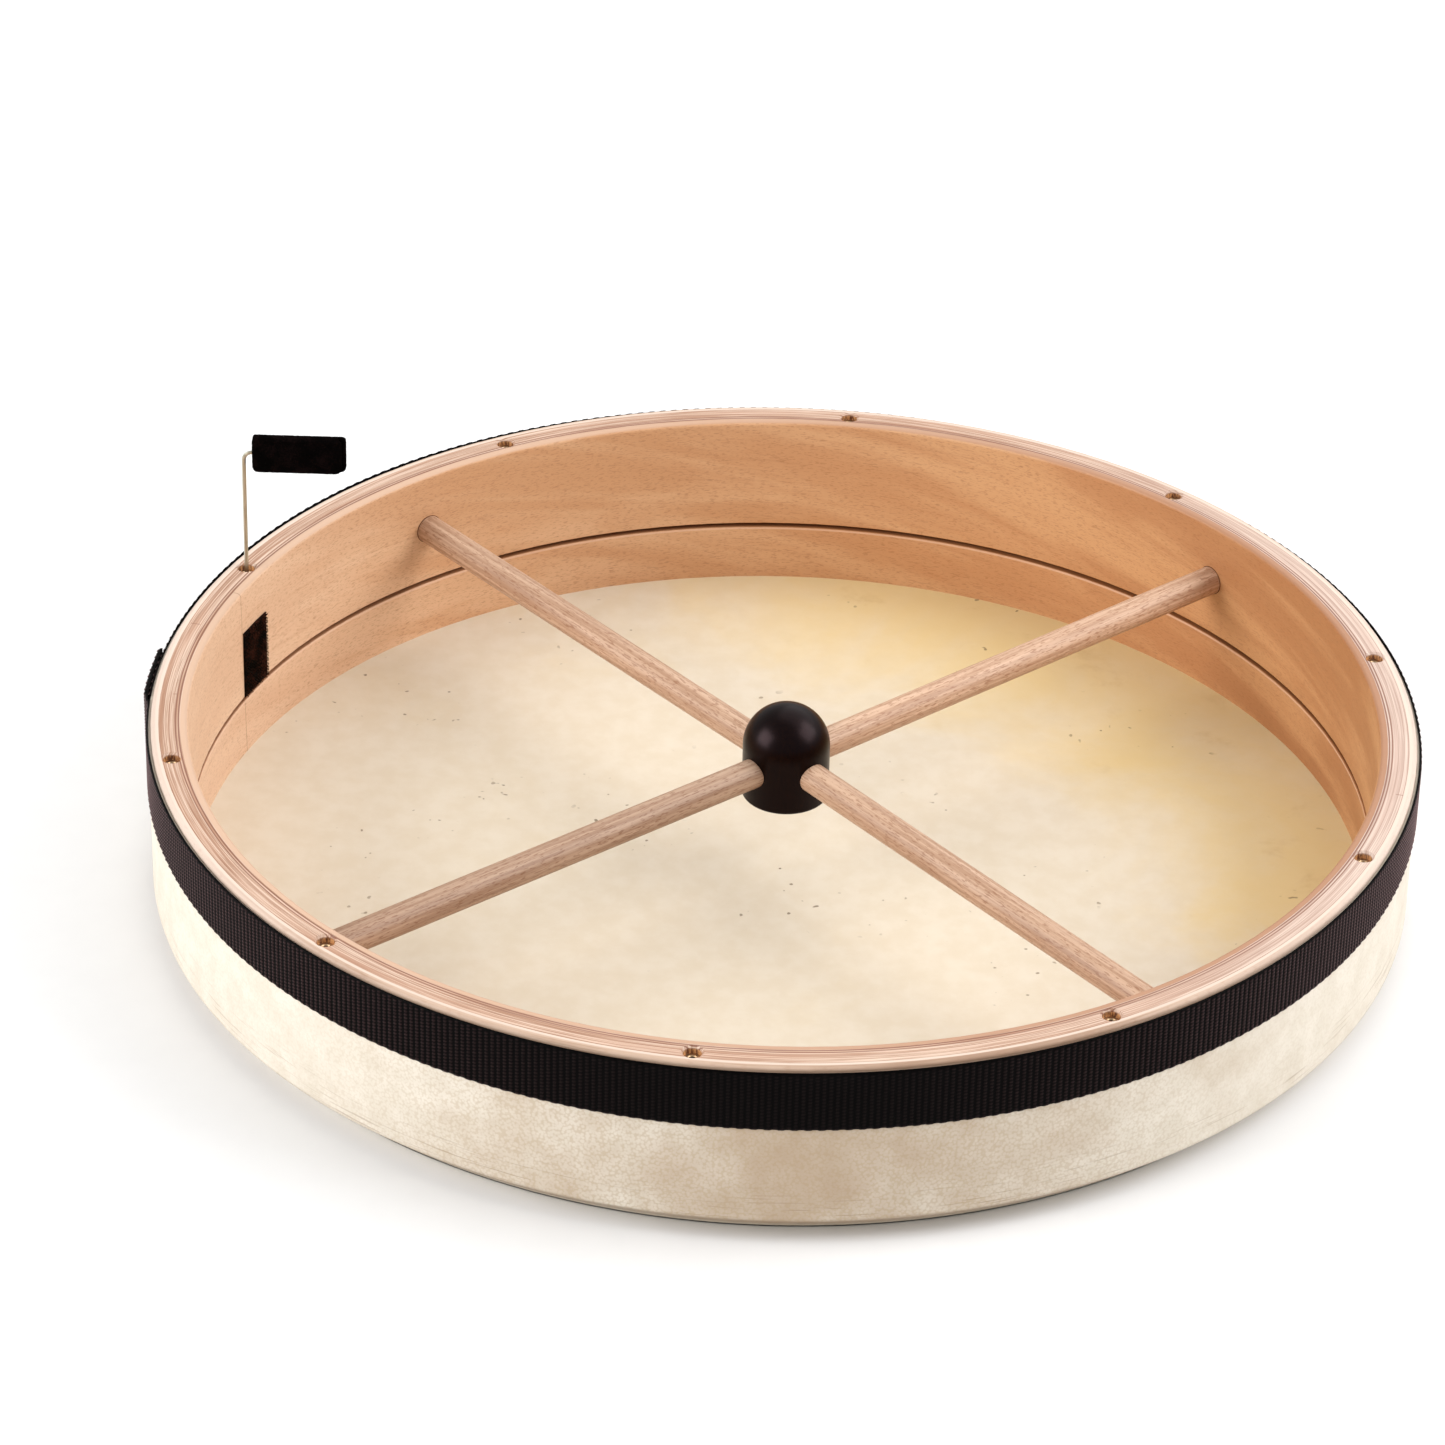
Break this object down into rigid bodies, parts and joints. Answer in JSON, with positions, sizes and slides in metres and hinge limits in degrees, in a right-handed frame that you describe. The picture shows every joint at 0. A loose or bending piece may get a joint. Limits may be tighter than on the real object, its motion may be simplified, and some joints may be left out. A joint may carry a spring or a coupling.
{
  "type": "tunable frame drum",
  "caption": "Shallow round frame drum with a bent wood shell, hide head, woven edge band, cross of dowels with a domed hub, a sliding inner tuning ring and a hex tuning key.",
  "frame": {"origin": "on the drum's axis, on the outer side of the head, where the drum rests head down", "axes": "+Z from the head towards the open back; +Y towards the far side of the drum; the key's grip points to +X"},
  "size_m": [0.5048, 0.5038, 0.1393],
  "materials": {
    "shell_beech": "pale bent beech, satin lacquer",
    "plywood": "layered beech plies seen on edge, satin",
    "lining_beech": "warm flecked beech veneer, satin lacquer",
    "dowel_beech": "turned beech, flecked, satin",
    "black_hub": "black-brown stained, soft gloss",
    "hide": "natural hide, cream, faintly mottled, matt",
    "webbing": "black ribbed polyamide webbing",
    "hook_tape": "black hook tape",
    "loop_tape": "black loop tape, soft pile",
    "insert_metal": "plated",
    "plate_steel": "plain",
    "screw_steel": "dark plated",
    "key_steel": "plated, warm grey"
  },
  "bodies": {
    "frame": {"outer_shell": "shell_beech", "fixed_hoop": "plywood", "hoop_lining": "lining_beech", "drumhead_skirt": "hide", "webbing_band": "webbing", "webbing_lap": "webbing", "hook_patch": "hook_tape", "spoke_back_right": "dowel_beech", "spoke_back_left": "dowel_beech", "spoke_front_left": "dowel_beech", "spoke_front_right": "dowel_beech", "hub": "black_hub", "threaded_inserts": "insert_metal"},
    "tensioner": {"tuning_ring": "plywood", "ring_lining": "lining_beech", "drumhead": "hide", "pressure_plates": "plate_steel"},
    "screw_01": {"tuning_screw_01": "screw_steel"},
    "screw_02": {"tuning_screw_02": "screw_steel"},
    "screw_03": {"tuning_screw_03": "screw_steel"},
    "screw_04": {"tuning_screw_04": "screw_steel"},
    "screw_05": {"tuning_screw_05": "screw_steel"},
    "screw_06": {"tuning_screw_06": "screw_steel"},
    "screw_07": {"tuning_screw_07": "screw_steel"},
    "screw_08": {"tuning_screw_08": "screw_steel"},
    "screw_09": {"tuning_screw_09": "screw_steel"},
    "screw_10": {"tuning_screw_10": "screw_steel"},
    "key": {"key_shaft": "key_steel", "key_grip": "loop_tape"}
  },
  "joints": [
    {"name": "ring_slide", "type": "slide", "parent": "frame", "child": "tensioner", "axis": [0, 0, 1], "range_m": [-0.003, 0.0015]},
    {"name": "screw_01_turn", "type": "hinge", "parent": "tensioner", "child": "screw_01", "pos_m": [-0.1226, 0.2098, 0.05], "axis": [0, 0, 1], "range_deg": [-2160, 1080]},
    {"name": "screw_02_turn", "type": "hinge", "parent": "tensioner", "child": "screw_02", "pos_m": [0.02414, 0.2418, 0.05], "axis": [0, 0, 1], "range_deg": [-2160, 1080]},
    {"name": "screw_03_turn", "type": "hinge", "parent": "tensioner", "child": "screw_03", "pos_m": [0.16165, 0.18143, 0.05], "axis": [0, 0, 1], "range_deg": [-2160, 1080]},
    {"name": "screw_04_turn", "type": "hinge", "parent": "tensioner", "child": "screw_04", "pos_m": [0.23742, 0.05177, 0.05], "axis": [0, 0, 1], "range_deg": [-2160, 1080]},
    {"name": "screw_05_turn", "type": "hinge", "parent": "tensioner", "child": "screw_05", "pos_m": [0.22251, -0.09767, 0.05], "axis": [0, 0, 1], "range_deg": [-2160, 1080]},
    {"name": "screw_06_turn", "type": "hinge", "parent": "tensioner", "child": "screw_06", "pos_m": [0.1226, -0.2098, 0.05], "axis": [0, 0, 1], "range_deg": [-2160, 1080]},
    {"name": "screw_07_turn", "type": "hinge", "parent": "tensioner", "child": "screw_07", "pos_m": [-0.02961, -0.24119, 0.05], "axis": [0, 0, 1], "range_deg": [-2160, 1080]},
    {"name": "screw_08_turn", "type": "hinge", "parent": "tensioner", "child": "screw_08", "pos_m": [-0.16727, -0.17627, 0.05], "axis": [0, 0, 1], "range_deg": [-2160, 1080]},
    {"name": "screw_09_turn", "type": "hinge", "parent": "tensioner", "child": "screw_09", "pos_m": [-0.23742, -0.05177, 0.05], "axis": [0, 0, 1], "range_deg": [-2160, 1080]},
    {"name": "screw_10_turn", "type": "hinge", "parent": "tensioner", "child": "screw_10", "pos_m": [-0.22251, 0.09767, 0.05], "axis": [0, 0, 1], "range_deg": [-2160, 1080]},
    {"name": "key_lift", "type": "slide", "parent": "screw_10", "child": "key", "axis": [0, 0, 1], "range_m": [0, 0.09]}
  ],
  "couplings": [
    {"joint": "screw_01_turn", "follows": "ring_slide", "rad_per_m": 12566},
    {"joint": "screw_02_turn", "follows": "ring_slide", "rad_per_m": 12566},
    {"joint": "screw_03_turn", "follows": "ring_slide", "rad_per_m": 12566},
    {"joint": "screw_04_turn", "follows": "ring_slide", "rad_per_m": 12566},
    {"joint": "screw_05_turn", "follows": "ring_slide", "rad_per_m": 12566},
    {"joint": "screw_06_turn", "follows": "ring_slide", "rad_per_m": 12566},
    {"joint": "screw_07_turn", "follows": "ring_slide", "rad_per_m": 12566},
    {"joint": "screw_08_turn", "follows": "ring_slide", "rad_per_m": 12566},
    {"joint": "screw_09_turn", "follows": "ring_slide", "rad_per_m": 12566},
    {"joint": "screw_10_turn", "follows": "ring_slide", "rad_per_m": 12566}
  ]
}
